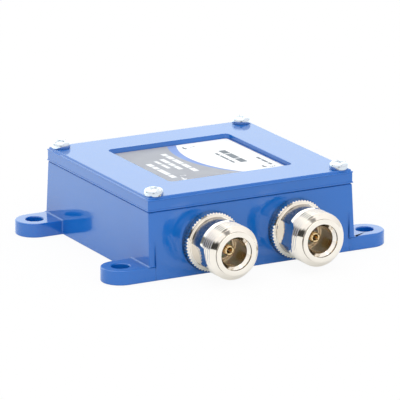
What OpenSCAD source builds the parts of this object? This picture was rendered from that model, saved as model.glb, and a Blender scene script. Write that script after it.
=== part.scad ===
// RF power tapper: a shallow cast housing with a screwed lid, two coaxial jacks on the front and one on the back.
// Millimetres. X runs along the front face, the front face looks to -Y, Z is up, and the base plane is Z = 0.

/* [Housing] */

// Width of the housing at its top edge
body_w = 66.2; // [62:0.1:74]

// Depth of the housing at its top edge
body_d = 64.2; // [60:0.1:72]

// Height of the housing up to the seal
body_h = 19.9; // [19:0.1:24]

// Draft of each side wall, measured at the base
draft_x = 0.4; // [0:0.1:0.8]

// Draft of the front and back walls, measured at the base
draft_y = 1.3; // [0.8:0.1:1.6]

// Thickness of the walls at the top edge
wall = 3.4; // [3:0.1:4]

// Thickness of the floor
floor_t = 2.6; // [2:0.1:2.8]

/* [Mounting lugs] */

// Thickness of a lug
lug_t = 4.25; // [3:0.05:6]

// Radius of the rounded end of a lug
lug_r = 5.75; // [4.5:0.05:7]

// Distance from the side wall at the base to the lug hole
lug_reach = 6.35; // [5.2:0.05:9]

// Diameter of a lug hole
lug_hole_d = 5.2; // [3.2:0.1:6]

/* [Lid] */

// How far the lid stands out past the housing on each side
lid_lip = 0.25; // [0:0.05:0.6]

// Thickness of the lid
lid_t = 4; // [3:0.1:5]

// Radius of the rounded top edge of the lid
lid_edge_r = 0.8; // [0.3:0.1:1.2]

// Width of the label pocket
pocket_w = 40.1; // [30:0.1:44]

// Depth of the label pocket from front to back
pocket_d = 39.9; // [30:0.1:44]

// How far the pocket sits to the right of the lid's middle
pocket_x = 0.6; // [-1:0.1:1]

// How far the pocket sits behind the lid's middle
pocket_y = 0.7; // [-1:0.1:1]

// How deep the pocket is sunk
pocket_sink = 1.5; // [0.6:0.1:2]

// Corner radius of the pocket
pocket_r = 1.5; // [0.8:0.1:3]

// Gap left around the label
label_gap = 0.5; // [0.2:0.1:1]

// Thickness of the label
label_t = 0.15; // [0.1:0.05:0.3]

// Thickness of the seal between lid and housing
seal_t = 0.3; // [0.2:0.05:0.6]

/* [Lid screws] */

// Distance of the screws from the side edges of the lid
screw_in_x = 3.25; // [3:0.05:3.6]

// Distance of the screws from the front and back edges of the lid
screw_in_y = 2.9; // [2.85:0.05:3.4]

// Diameter of a screw head
head_d = 5.6; // [4.8:0.1:5.7]

// Height of a screw head
head_h = 2.0; // [1.6:0.1:2.4]

// Diameter of a screw shank
shank_d = 2.9; // [2.4:0.1:3]

// Length of a screw under its head
shank_l = 12; // [9:0.5:14]

/* [Jacks] */

// Distance between the two front jacks
jack_pitch = 27.8; // [24:0.1:32]

// Height of the jack axes above the base
jack_z = 9.5; // [9.4:0.1:10]

// Outer diameter of the serrated collar
collar_d = 17.5; // [16.6:0.1:18.4]

// Thickness of the collar with its raised step
collar_t = 3.8; // [3.4:0.1:4.2]

// Height of the raised step in front of the teeth
step_l = 0.8; // [0.5:0.1:1.2]

// Number of teeth on the collar
collar_teeth = 56; // [40:1:80]

// Height of the collar teeth
tooth_h = 0.4; // [0.2:0.05:0.45]

// Diameter of the threaded barrel over its crests
thread_d = 15.88; // [15:0.02:16]

// Diameter of the neck behind the thread
neck_d = 14.9; // [14.2:0.1:15.2]

// Distance across the two wrench flats, which cross the neck and the back of the barrel
flats_w = 13.3; // [12.8:0.1:13.8]

// Length of the neck, from the collar's step to the barrel
neck_l = 5.3; // [4.5:0.1:6]

// Length of the threaded barrel up to its lead chamfer
barrel_l = 5.9; // [5:0.1:6.5]

// How far the wrench flats run into the barrel
flat_run = 1.7; // [1:0.1:2.5]

// Length of the lead chamfer between barrel and nose
lead_l = 0.9; // [0.6:0.1:1.2]

// Diameter of the plain nose in front of the chamfer
nose_d = 12.7; // [12:0.1:13.2]

// Length of the nose
nose_l = 0.8; // [0.6:0.1:1.2]

// Diameter of the mouth of the bore
mouth_d = 9.7; // [9:0.1:10.4]

// Diameter of the bore that takes the mating outer contact
bore_d = 8.13; // [8:0.01:8.5]

// Depth of that bore from the front end
bore_depth = 9.1; // [8.8:0.1:9.4]

// Diameter of the centre contact
contact_d = 3.04; // [2.8:0.02:3.2]

// Diameter of the socket hole in the centre contact
socket_d = 1.66; // [1.5:0.02:1.8]

// How far the contact tip sits behind the front end
contact_recess = 4.3; // [3.8:0.1:4.8]

// Width of the slots in the contact
slot_w = 0.25; // [0.2:0.05:0.3]

// Turn of the wrench flats on the left jack, in degrees
turn_left = 20.5; // [0:0.5:90]

// Turn of the wrench flats on the right jack, in degrees
turn_right = -4.5; // [-90:0.5:90]

// Turn of the wrench flats on the back jack, in degrees
turn_back = 0; // [-90:1:90]

/* [Circuit board] */

// Thickness of the board
board_t = 1.5; // [0.8:0.1:1.6]

// Thickness of the copper track
track_t = 0.1; // [0.05:0.05:0.2]

// Distance between the board edge and the walls
board_gap = 2; // [1.6:0.1:4]

// Width of the wide line that goes to the left jack
line_w = 4; // [2.5:0.1:5]

// Width of the narrow line that goes to the right jack
tap_w = 1.2; // [0.6:0.1:2]

/* [View] */

// Name of the piece to draw, or all

/* [Hidden] */

$fn = 64;
eps = 0.01;

// outline of the box
base_x = body_w / 2 + draft_x;
base_y = body_d / 2 + draft_y;
lid_w = body_w + 2 * lid_lip;
lid_d = body_d + 2 * lid_lip;
lid_z = body_h + seal_t;
lid_top = lid_z + lid_t;
lug_x = base_x + lug_reach;
lug_y = base_y - lug_r;
cavity_w = body_w - 2 * wall;
cavity_d = body_d - 2 * wall;
screw_x = lid_w / 2 - screw_in_x;
screw_y = lid_d / 2 - screw_in_y;
seal_in = 0.4;
seal_w = 2.4;
pillar_r = 3.6;

// seats of the jacks: a spot face just behind the drafted wall at the collar's top edge
collar_r = collar_d / 2;
seat_y = base_y - draft_y * min(jack_z + collar_r, body_h) / body_h;
spot_r = collar_r + 0.25;
shank_r = 6.5;
shank_gap = 0.05;
shank_in = seat_y - cavity_d / 2 + 0.5;
jack_x = jack_pitch / 2;

// lengths along a jack, from its seat outwards
step_r = neck_d / 2 + 0.4;
neck_z = collar_t;
barrel_z = neck_z + neck_l;
lead_z = barrel_z + barrel_l;
nose_z = lead_z + lead_l;
jack_l = nose_z + nose_l;
nose_edge = 0.15;
flat_end = barrel_z + flat_run;
stop_z = jack_l - bore_depth;
line_r = 3.5;
bead_r = 4.6;
bead_z = 2.6;
spigot_z = stop_z - 1.5;
fit_gap = 0.03;
tip_z = jack_l - contact_recess;
pin_r = 0.65;
pin_l = 4.2;
flange_r = 2.1;
flange_l = 0.8;

// board heights
track_z = jack_z - pin_r - track_t;
board_z = track_z - board_t;
foil_t = 0.1;
foil_z = board_z - foil_t;
board_x = cavity_w / 2 - board_gap;
board_y = cavity_d / 2 - board_gap;
post_x = board_x - 5;
post_y = board_y - 5;
post_r = 2.8;
board_hole_r = 1.35;
board_shank_r = 1.2;
board_head_r = 2.2;
board_head_h = 1.4;

// rounded top edge of a slab seen from one side, as points of a quarter circle
function edge_arc(half, top, r, side) = [for (a = [0:15:90])
    [side * (half - r + r * (side > 0 ? cos(a) : sin(a))), top - r + r * (side > 0 ? sin(a) : cos(a))]];

// points of a toothed circle: crests and roots in turn
function teeth(r, n, h) = [for (i = [0:2 * n - 1]) (i % 2 == 0 ? r : r - h) * [cos(i * 180 / n), sin(i * 180 / n)]];

// copies of a child at the four corners of a rectangle
module corners(x, y) {
    for (sx = [-1, 1], sy = [-1, 1])
        translate([sx * x, sy * y, 0]) children();
}

// a flat rectangle with round corners, for extruding
module round_rect(w, d, r) {
    square([w - 2 * r, d], center = true);
    square([w, d - 2 * r], center = true);
    corners(w / 2 - r, d / 2 - r) circle(r = r, $fn = 32);
}

// a profile in X and Z drawn through the whole depth
module along_y(d) {
    translate([0, d / 2, 0])
        rotate([90, 0, 0])
            linear_extrude(height = d) children();
}

// a profile in Y and Z drawn through the whole width
module along_x(w) {
    translate([-w / 2, 0, 0])
        rotate([90, 0, 90])
            linear_extrude(height = w) children();
}

// puts a jack piece, drawn along +Z from its seat, on the front or the back wall
module on_front(x, turn = 0) {
    translate([x, -seat_y, jack_z])
        rotate([90, 0, 0])
            rotate([0, 0, turn]) children();
}

module on_back(turn = 0) {
    translate([0, seat_y, jack_z])
        rotate([-90, 0, 0])
            rotate([0, 0, turn]) children();
}

// block with drafted sides
module drafted_block() {
    intersection() {
        along_y(2 * base_y + 2)
            polygon([[-base_x, 0], [base_x, 0], [body_w / 2, body_h], [-body_w / 2, body_h]]);
        along_x(2 * base_x + 2)
            polygon([[-base_y, 0], [base_y, 0], [body_d / 2, body_h], [-body_d / 2, body_h]]);
    }
}

// one mounting lug at the corner with the signs sx and sy
module lug(sx, sy) {
    translate([sx * lug_x, sy * lug_y, 0])
        cylinder(h = lug_t, r = lug_r);
    translate([sx > 0 ? base_x - 2 : -lug_x, sy * lug_y - lug_r, 0])
        cube([lug_x - base_x + 2, 2 * lug_r, lug_t]);
}

// hole and spot face for one jack
module jack_hole() {
    translate([0, 0, -shank_in - 1])
        cylinder(h = shank_in + 2, r = shank_r + shank_gap);
    cylinder(h = 4, r = spot_r);
}

module housing() {
    color([0.13, 0.36, 0.68])
    difference() {
        union() {
            drafted_block();
            for (sx = [-1, 1], sy = [-1, 1])
                lug(sx, sy);
        }
        // the cavity leaves pillars for the lid screws and posts under the circuit board
        difference() {
            translate([-cavity_w / 2, -cavity_d / 2, floor_t])
                cube([cavity_w, cavity_d, body_h]);
            corners(screw_x, screw_y)
                cylinder(h = body_h, r = pillar_r);
            corners(post_x, post_y)
                cylinder(h = foil_z, r = post_r);
        }
        corners(screw_x, screw_y)
            translate([0, 0, body_h - shank_l])
                cylinder(h = shank_l + 1, d = shank_d + 0.1);
        corners(post_x, post_y)
            translate([0, 0, 1])
                cylinder(h = foil_z, r = board_shank_r + 0.05);
        corners(lug_x, lug_y)
            translate([0, 0, -1])
                cylinder(h = lug_t + 2, d = lug_hole_d);
        on_front(-jack_x) jack_hole();
        on_front(jack_x) jack_hole();
        on_back() jack_hole();
    }
}

module lid() {
    color([0.16, 0.40, 0.72])
    difference() {
        intersection() {
            along_y(lid_d)
                polygon(concat([[-lid_w / 2, lid_z], [lid_w / 2, lid_z]],
                    edge_arc(lid_w / 2, lid_top, lid_edge_r, 1), edge_arc(lid_w / 2, lid_top, lid_edge_r, -1)));
            along_x(lid_w)
                polygon(concat([[-lid_d / 2, lid_z], [lid_d / 2, lid_z]],
                    edge_arc(lid_d / 2, lid_top, lid_edge_r, 1), edge_arc(lid_d / 2, lid_top, lid_edge_r, -1)));
        }
        translate([pocket_x, pocket_y, lid_top - pocket_sink])
            linear_extrude(height = pocket_sink + 1)
                round_rect(pocket_w, pocket_d, pocket_r);
        corners(screw_x, screw_y)
            translate([0, 0, lid_z - 1])
                cylinder(h = lid_t + 2, d = shank_d + 0.4);
    }
}

module lid_seal() {
    color([0.07, 0.07, 0.08])
    translate([0, 0, body_h])
        linear_extrude(height = seal_t)
            difference() {
                square([body_w - 2 * seal_in, body_d - 2 * seal_in], center = true);
                difference() {
                    square([body_w - 2 * (seal_in + seal_w), body_d - 2 * (seal_in + seal_w)], center = true);
                    corners(screw_x, screw_y) circle(r = pillar_r);
                }
                corners(screw_x, screw_y) circle(d = shank_d + 0.2);
            }
}

module label() {
    color([0.86, 0.88, 0.90])
    translate([pocket_x, pocket_y, lid_top - pocket_sink])
        linear_extrude(height = label_t)
            round_rect(pocket_w - 2 * label_gap, pocket_d - 2 * label_gap, max(pocket_r - label_gap, 0.3));
}

// pan head screw with its head seated on Z = 0
module pan_screw() {
    head_r = head_d / 2;
    color([0.78, 0.79, 0.80])
    difference() {
        union() {
            rotate_extrude()
                polygon(concat([[0, 0], [head_r - 0.15, 0], [head_r, 0.2], [head_r, head_h * 0.45]],
                    [for (a = [15:15:90]) [head_r - 1.1 * (1 - cos(a)), head_h * (0.45 + 0.55 * sin(a))]],
                    [[0, head_h]]));
            translate([0, 0, -shank_l])
                cylinder(h = shank_l + eps, d = shank_d);
        }
        for (a = [0, 90])
            rotate([0, 0, a])
                translate([-1.6, -0.4, head_h - 1.1])
                    cube([3.2, 0.8, 2]);
        translate([-head_r, -0.3, head_h - 0.6])
            cube([head_d, 0.6, 1]);
    }
}

// outside of a jack: serrated collar with its step, neck, barrel, lead chamfer and nose, and two wrench flats
// milled across the neck and the back of the barrel
module jack_body() {
    color([0.80, 0.79, 0.76])
    difference() {
        union() {
            translate([0, 0, -shank_in])
                cylinder(h = shank_in + 1, r = shank_r);
            linear_extrude(height = collar_t - step_l)
                polygon(teeth(collar_r, collar_teeth, tooth_h));
            translate([0, 0, 0.5])
                cylinder(h = collar_t - 0.5, r = step_r);
            difference() {
                union() {
                    translate([0, 0, 1])
                        cylinder(h = barrel_z, d = neck_d);
                    // threaded barrel drawn over its crests, with its lead chamfer and nose
                    rotate_extrude()
                        polygon([[0, barrel_z], [thread_d / 2, barrel_z], [thread_d / 2, lead_z], [nose_d / 2, nose_z],
                            [nose_d / 2, jack_l - nose_edge], [nose_d / 2 - nose_edge, jack_l], [0, jack_l]]);
                }
                for (side = [-1, 1])
                    translate([side * (flats_w / 2 + thread_d / 2) - thread_d / 2, -thread_d, neck_z])
                        cube([thread_d, 2 * thread_d, flat_end - neck_z]);
            }
        }
        rotate_extrude()
            polygon([[0, jack_l + 1], [mouth_d / 2, jack_l + 1], [mouth_d / 2, jack_l - 0.7],
                [bore_d / 2, jack_l - 1.6], [bore_d / 2, stop_z], [line_r, stop_z], [line_r, bead_z],
                [bead_r, bead_z], [bead_r, -shank_in - 1], [0, -shank_in - 1]]);
    }
}

// bead that centres the contact
module jack_insulator() {
    color([0.93, 0.93, 0.90])
    rotate_extrude()
        polygon([[contact_d / 2 + fit_gap, -shank_in], [bead_r - fit_gap, -shank_in], [bead_r - fit_gap, bead_z],
            [line_r - fit_gap, bead_z], [line_r - fit_gap, spigot_z], [contact_d / 2 + fit_gap, spigot_z]]);
}

// slotted socket contact with a solder pin at the back
module jack_contact() {
    color([0.83, 0.66, 0.32])
    difference() {
        rotate_extrude()
            polygon([[0, -shank_in - flange_l - pin_l], [pin_r, -shank_in - flange_l - pin_l],
                [pin_r, -shank_in - flange_l], [flange_r, -shank_in - flange_l], [flange_r, -shank_in],
                [contact_d / 2, -shank_in], [contact_d / 2, tip_z - 0.25], [contact_d / 2 - 0.25, tip_z],
                [socket_d / 2 + 0.15, tip_z], [socket_d / 2, tip_z - 0.15], [socket_d / 2, tip_z - 5], [0, tip_z - 5.4]]);
        for (a = [45, 135])
            rotate([0, 0, a])
                translate([-contact_d, -slot_w / 2, tip_z - 4])
                    cube([2 * contact_d, slot_w, 5]);
    }
}

module board_plate(z, t) {
    translate([0, 0, z])
        linear_extrude(height = t)
            difference() {
                round_rect(2 * board_x, 2 * board_y, 1);
                corners(post_x, post_y) circle(r = board_hole_r);
                // corner cut-outs clear the pillars
                corners(screw_x, screw_y) circle(r = pillar_r + 0.8);
            }
}

module circuit_board() {
    color([0.88, 0.86, 0.78])
    board_plate(board_z, board_t);
}

module ground_foil() {
    color([0.78, 0.50, 0.32])
    board_plate(foil_z, foil_t);
}

// bar of a given width between two points of the board
module bar(a, b, w) {
    d = b - a;
    translate(a)
        rotate([0, 0, atan2(d[1], d[0])])
            translate([-w / 2, -w / 2])
                square([norm(d) + w, w]);
}

// common line from the back jack, a wide line to the left jack and a narrow one to the right jack
module copper_track() {
    pin_end = cavity_d / 2 - 0.5 - flange_l;
    end_y = board_y - 0.8;
    fork_y = 4;
    color([0.80, 0.52, 0.33])
    translate([0, 0, track_z])
        linear_extrude(height = track_t) {
            bar([0, end_y - 1.5], [0, fork_y], 3);
            bar([0, fork_y], [-jack_x, fork_y - 6], line_w);
            bar([-jack_x, fork_y - 6], [-jack_x, -end_y + line_w / 2], line_w);
            bar([0, fork_y], [jack_x, fork_y - 6], tap_w);
            bar([jack_x, fork_y - 6], [jack_x, -end_y + 1.5], tap_w);
            translate([jack_x, -pin_end + 3.4]) square([3, 3.4], center = true);
        }
}

// small screw that holds the board down
module board_screw() {
    z = track_z;
    color([0.72, 0.73, 0.74])
    difference() {
        union() {
            translate([0, 0, z])
                cylinder(h = board_head_h, r = board_head_r, $fn = 32);
            translate([0, 0, foil_z - 3])
                cylinder(h = z - foil_z + 3 + eps, r = board_shank_r, $fn = 32);
        }
        translate([-board_head_r, -0.3, z + board_head_h - 0.6])
            cube([2 * board_head_r, 0.6, 1]);
    }
}

module place_screw(sx, sy) {
    translate([sx * screw_x, sy * screw_y, lid_top])
        rotate([0, 0, sx * 25 + sy * 40]) pan_screw();
}

module screw_front_left() {
    place_screw(-1, -1);
}

module screw_front_right() {
    place_screw(1, -1);
}

module screw_back_left() {
    place_screw(-1, 1);
}

module screw_back_right() {
    place_screw(1, 1);
}

module jack_left_body() {
    on_front(-jack_x, turn_left) jack_body();
}

module jack_left_insulator() {
    on_front(-jack_x) jack_insulator();
}

module jack_left_contact() {
    on_front(-jack_x) jack_contact();
}

module jack_right_body() {
    on_front(jack_x, turn_right) jack_body();
}

module jack_right_insulator() {
    on_front(jack_x) jack_insulator();
}

module jack_right_contact() {
    on_front(jack_x) jack_contact();
}

module jack_back_body() {
    on_back(turn_back) jack_body();
}

module jack_back_insulator() {
    on_back() jack_insulator();
}

module jack_back_contact() {
    on_back() jack_contact();
}

module board_screw_front_left() {
    translate([-post_x, -post_y, 0]) board_screw();
}

module board_screw_front_right() {
    translate([post_x, -post_y, 0]) board_screw();
}

module board_screw_back_left() {
    translate([-post_x, post_y, 0]) board_screw();
}

module board_screw_back_right() {
    translate([post_x, post_y, 0]) board_screw();
}

housing();
lid();
lid_seal();
label();
screw_front_left();
screw_front_right();
screw_back_left();
screw_back_right();
jack_left_body();
jack_left_insulator();
jack_left_contact();
jack_right_body();
jack_right_insulator();
jack_right_contact();
jack_back_body();
jack_back_insulator();
jack_back_contact();
circuit_board();
copper_track();
ground_foil();
board_screw_front_left();
board_screw_front_right();
board_screw_back_left();
board_screw_back_right();
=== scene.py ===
"""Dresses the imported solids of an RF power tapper: a blue enamelled box with a screwed lid, a printed label
and three threaded coaxial jacks. Run as a script, it builds every piece and the studio around them."""

import math

import bmesh
import bpy
from bpy.props import FloatProperty, FloatVectorProperty, IntProperty, PointerProperty
from bpy.types import Operator, Panel, PropertyGroup
from mathutils import Matrix, Vector


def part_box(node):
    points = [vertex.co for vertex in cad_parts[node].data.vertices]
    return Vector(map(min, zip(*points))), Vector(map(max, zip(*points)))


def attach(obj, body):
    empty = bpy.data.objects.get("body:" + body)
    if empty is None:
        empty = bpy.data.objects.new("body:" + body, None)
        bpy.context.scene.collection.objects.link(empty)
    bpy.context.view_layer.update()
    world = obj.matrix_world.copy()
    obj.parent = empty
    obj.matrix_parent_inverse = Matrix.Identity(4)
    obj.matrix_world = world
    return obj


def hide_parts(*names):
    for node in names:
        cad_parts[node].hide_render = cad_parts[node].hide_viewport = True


bl_info = {
    "name": "RF power tapper",
    "version": (1, 0, 0),
    "blender": (4, 5, 0),
    "location": "3D View > Sidebar > Tapper",
    "description": "Builds the enamelled box, label, screws and threaded jacks of an RF power tapper",
    "category": "Object",
}

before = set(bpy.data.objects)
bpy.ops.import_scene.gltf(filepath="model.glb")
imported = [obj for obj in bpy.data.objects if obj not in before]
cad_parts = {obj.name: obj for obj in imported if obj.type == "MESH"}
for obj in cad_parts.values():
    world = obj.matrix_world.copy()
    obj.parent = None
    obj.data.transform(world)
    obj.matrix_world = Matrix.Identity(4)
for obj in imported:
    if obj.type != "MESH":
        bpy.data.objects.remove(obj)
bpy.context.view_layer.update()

MM = 0.001
BODY = "root"
CORNERS = ("front_left", "front_right", "back_left", "back_right")

# places read from the solids
LID_LOW, LID_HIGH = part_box("lid")
LABEL_LOW, LABEL_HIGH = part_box("label")
HOUSING_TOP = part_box("housing")[1].z
JACK_LOW, JACK_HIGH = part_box("jack_right_body")
JACK_X = (JACK_LOW.x + JACK_HIGH.x) / 2
JACK_Z = (JACK_LOW.z + JACK_HIGH.z) / 2
COLLAR_R = (JACK_HIGH.x - JACK_LOW.x) / 2
# for each jack: its X, the way along Y that it points, and the turn of its two wrench flats in degrees
JACKS = {"left": (-JACK_X, -1, 20.5), "right": (JACK_X, -1, -4.5), "back": (0, 1, 0)}


def linear(code):
    """Linear RGB of an sRGB hex value."""
    channels = [int(code[i : i + 2], 16) / 255 for i in (0, 2, 4)]
    return tuple(c / 12.92 if c <= 0.04045 else ((c + 0.055) / 1.055) ** 2.4 for c in channels)


def opaque(color):
    """A colour with an alpha of 1."""
    return (*color[:3], 1.0)


def shaded(color, share):
    """A colour at a share of its brightness."""
    return tuple(c * share for c in color[:3])


def colour_prop(name, part, code):
    """Colour property of a part, with an sRGB hex value as its default."""
    about = f"Colour of the {part}"
    return FloatVectorProperty(
        name=name, description=about, subtype="COLOR", size=3, min=0, max=1, default=linear(code)
    )


def length_prop(name, description, millimetres, most):
    """Length property, given in millimetres and kept in metres."""
    limits = {"default": millimetres * MM, "min": 0, "max": most * MM, "precision": 5}
    return FloatProperty(name=name, description=description, subtype="DISTANCE", unit="LENGTH", **limits)


def angle_prop(name, description, degrees):
    """Angle property, given in degrees and kept in radians."""
    start = math.radians(degrees)
    return FloatProperty(name=name, description=description, subtype="ANGLE", unit="ROTATION", default=start)


class TapperPaint(PropertyGroup):
    """Colours and sizes of the enamelled casting"""

    enamel: colour_prop("Enamel", "box and its lid", "1267BE")
    # the seal's light blue is painted light, which keeps the shaded seam a dark blue line
    seal: colour_prop("Seal", "seal between lid and box", "2C6DB8")
    edge: length_prop("Edge radius", "Rounding of the casting's edges", 0.4, 0.6)
    peel: length_prop("Orange peel", "Width of the soft waves in the sprayed enamel", 0.9, 5)


class TapperJacks(PropertyGroup):
    """Colours and sizes of the jacks"""

    plating: colour_prop("Plating", "bright plating on the jacks", "ECE5DB")
    bore: colour_prop("Bore", "metal inside the mouth", "DFD1BC")
    gold: colour_prop("Gold", "centre contacts", "EACFA0")
    bead: colour_prop("Bead", "bead that holds a contact", "E8E6DF")
    pitch: length_prop("Thread pitch", "Distance between two threads, 24 to the inch", 1.058, 2)
    depth: length_prop("Thread depth", "Depth of the thread", 0.58, 1)
    tooth: length_prop("Tooth height", "Height of the teeth round the collar", 0.4, 1)
    teeth: IntProperty(name="Teeth", description="Number of the collar's teeth", default=56, min=24, max=120)


class TapperLabel(PropertyGroup):
    """Colours of the label"""

    film: colour_prop("Film", "cut edge of the label film", "C4AE9C")
    white: colour_prop("White", "printed white ground", "FAFBFD")
    field: colour_prop("Grey field", "printed grey field", "A5A7AF")
    band: colour_prop("Band", "printed curved band", "829DD8")
    mark: colour_prop("Dark marks", "marks on the white ground", "6E757D")
    light_mark: colour_prop("Light marks", "marks on the grey field", "F2F4F6")


class TapperMetal(PropertyGroup):
    """Colours of the screws and the circuit board"""

    zinc: colour_prop("Zinc", "zinc plated screws", "D2DAE3")
    copper: colour_prop("Copper", "board's copper", "C98A62")
    laminate: colour_prop("Laminate", "circuit board", "DAD3BC")


class TapperStudio(PropertyGroup):
    """Floor and camera"""

    floor: colour_prop("Floor", "floor", "F4F4F4")
    reach: length_prop("Floor radius", "Radius of the round floor", 6000, 20000)
    lens: FloatProperty(name="Lens", description="Focal length in millimetres", default=410.1, min=20)
    azimuth: angle_prop("Azimuth", "How far the camera stands round to the left of the front wall", 28.05)
    elevation: angle_prop("Elevation", "Angle of the camera above the floor", 15.64)
    roll: angle_prop("Roll", "Turn of the camera on its own axis", -0.08)
    distance: length_prop("Distance", "From the camera to the middle of the view", 1328.1, 5000)


def add_node(tree, kind, inputs=None, **settings):
    """Adds a shader node with its settings; an input takes a value or another node's output."""
    node = tree.nodes.new("ShaderNode" + kind)
    for name, value in settings.items():
        setattr(node, name, value)
    for name, value in (inputs or {}).items():
        if isinstance(value, bpy.types.NodeSocket):
            tree.links.new(value, node.inputs[name])
        else:
            node.inputs[name].default_value = value
    return node


def surface(name, color, **values):
    """Material with one Principled shader, whose colour and other values are set on its own sockets."""
    material = bpy.data.materials.new(name)
    material.use_nodes = True
    shader = material.node_tree.nodes["Principled BSDF"]
    shader.inputs["Base Color"].default_value = opaque(color)
    for socket, value in values.items():
        shader.inputs[socket.replace("_", " ")].default_value = value
    return material


# a noise keeps mostly between these two values
NOISE_LOW, NOISE_HIGH = 0.3, 0.7


def vary(material, pattern, shades=None, roughness=None, relief=None, detail=2.0, stretch=None):
    """Runs a material between two shades of its colour and between two roughnesses, and raises its surface
    by up to a real height in metres, after a pattern of 0 to 1. The pattern is a node's output, or the width
    in metres of soft clouds, which stretch draws out along an axis."""
    tree = material.node_tree
    shader = tree.nodes["Principled BSDF"].inputs
    if not isinstance(pattern, bpy.types.NodeSocket):
        where = add_node(tree, "TexCoord").outputs["Object"]
        if stretch:
            where = add_node(tree, "Mapping", {"Vector": where, "Scale": stretch}).outputs["Vector"]
        clouds = {"Vector": where, "Scale": 1 / pattern, "Detail": detail}
        pattern = add_node(tree, "TexNoise", clouds).outputs["Fac"]
    if shades:
        first, last = (opaque(shaded(shader["Base Color"].default_value, share)) for share in shades)
        mixed = add_node(tree, "MixRGB", {"Fac": pattern, "Color1": first, "Color2": last})
        tree.links.new(mixed.outputs["Color"], shader["Base Color"])
    if roughness:
        spread = {"From Min": NOISE_LOW, "From Max": NOISE_HIGH, "To Min": roughness[0]}
        ranged = add_node(tree, "MapRange", {"Value": pattern, **spread, "To Max": roughness[1]})
        tree.links.new(ranged.outputs["Result"], shader["Roughness"])
    if relief:
        raised = add_node(tree, "Bump", {"Height": pattern, "Distance": relief})
        tree.links.new(raised.outputs["Normal"], shader["Normal"])


def enamel_material(paint):
    """Gloss polyurethane enamel, sprayed on cast aluminium: a deep even blue under a wet looking skin that
    mirrors its surroundings, with the soft waves of sprayed paint."""
    material = surface("gloss_enamel", paint.enamel, IOR=1.6, Roughness=0.08)
    # the coat's thickness varies over some centimetres, which shifts its colour by a few percent
    vary(material, 22 * MM, shades=(0.93, 1.06))
    # overspray dulls the gloss a little, in patches some millimetres wide
    vary(material, 6 * MM, roughness=(0.05, 0.12))
    # waves of orange peel are a few micrometres high and far wider than they are deep
    vary(material, paint.peel, relief=0.009 * MM, detail=1.0)
    return material


def plating_material(jacks):
    """Bright white bronze plated on turned brass: a warm near white mirror, crossed by the fine rings that
    the turning tool left under it."""
    material = surface("bright_plating", jacks.plating, Metallic=1.0, Roughness=0.08)
    tree = material.node_tree
    where = add_node(tree, "TexCoord").outputs["Object"]
    parts = add_node(tree, "SeparateXYZ", {"Vector": where}).outputs
    radial = add_node(tree, "CombineXYZ", {"X": parts["X"], "Y": parts["Y"]}).outputs["Vector"]
    radius = add_node(tree, "VectorMath", {0: radial}, operation="LENGTH").outputs["Value"]
    rings = add_node(tree, "CombineXYZ", {"X": radius, "Y": parts["Z"]}).outputs["Vector"]
    # tool marks are 0.05 mm apart; they are drawn five times as coarse, so that they show
    turning = {"Vector": rings, "Scale": 1 / (0.25 * MM), "Detail": 1.0}
    marks = add_node(tree, "TexNoise", turning).outputs["Fac"]
    vary(material, marks, roughness=(0.05, 0.11), relief=0.001 * MM)
    # tarnish clouds the plating over some millimetres
    vary(material, 5 * MM, shades=(0.93, 1.05))
    return material


def shaded_neck_material(jacks):
    """The same plating in the turned groove and on the nose band at half its brightness, a dull, darker
    mirror. The dullness is the groove's own, thin and never polished. The darkness is partly tarnish and
    partly painted shade for the shadowed wall these bands mirror.
    """
    # half the plating's brightness: painted shade, partly tarnish
    material = surface("dull_plating_painted_shade", shaded(jacks.plating, 0.5), Metallic=1.0, Roughness=0.25)
    # the tool's marks are about 0.3 mm apart
    vary(material, 0.3 * MM, shades=(0.9, 1.05), roughness=(0.18, 0.3), relief=0.002 * MM, detail=1.0)
    return material


def bore_material(jacks):
    """Reamed bronze inside the mouth, thinly plated: a brown mirror that darkens with every reflection."""
    material = surface("reamed_bronze", jacks.bore, Metallic=1.0, Roughness=0.2)
    # reaming leaves rings 0.1 mm apart down the bore
    vary(material, 0.1 * MM, shades=(0.86, 1.05), roughness=(0.16, 0.28), stretch=(0.05, 0.05, 1.0))
    return material


def gold_material(jacks):
    """Gold flashed on a turned contact: a smooth, warm yellow mirror."""
    material = surface("gold_flash", jacks.gold, Metallic=1.0, Roughness=0.14)
    # the flash is thinnest where plugs have rubbed it, over about 0.6 mm
    vary(material, 0.6 * MM, shades=(0.85, 1.08), roughness=(0.1, 0.22))
    return material


def bead_material(jacks):
    """PTFE bead, cut from rod: waxy white that light sinks into, dull on its turned faces."""
    sinking = {"Subsurface_Weight": 0.3, "Subsurface_Scale": 1 * MM}
    material = surface("turned_ptfe", jacks.bead, IOR=1.35, Roughness=0.45, **sinking)
    # the pressed powder shows as clouds about a millimetre wide
    vary(material, 1.2 * MM, shades=(0.94, 1.0), roughness=(0.38, 0.55))
    return material


def zinc_material(metals):
    """Bright zinc plating on cold headed steel screws: bluish silver, slightly grainy from the bath."""
    material = surface("bright_zinc", metals.zinc, Metallic=1.0, Roughness=0.18)
    # plating grain is finer than 0.05 mm; it is drawn at 0.3 mm, so that it shows
    vary(material, 0.3 * MM, roughness=(0.12, 0.26), relief=0.006 * MM)
    # the passivation tints the zinc in patches over a millimetre wide
    vary(material, 1.5 * MM, shades=(0.88, 1.05))
    return material


def seal_material(paint):
    """Moulded EPDM seal in a light blue: matt rubber whose blue is painted light, so that the seam between
    lid and box, deep in shade, still shows as a dark blue line.
    """
    material = surface("moulded_epdm", paint.seal, IOR=1.5, Roughness=0.6)
    # the blue varies at random, in patches about a millimetre long
    vary(material, 0.8 * MM, shades=(0.6, 1.4), roughness=(0.45, 0.75))
    return material


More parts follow.
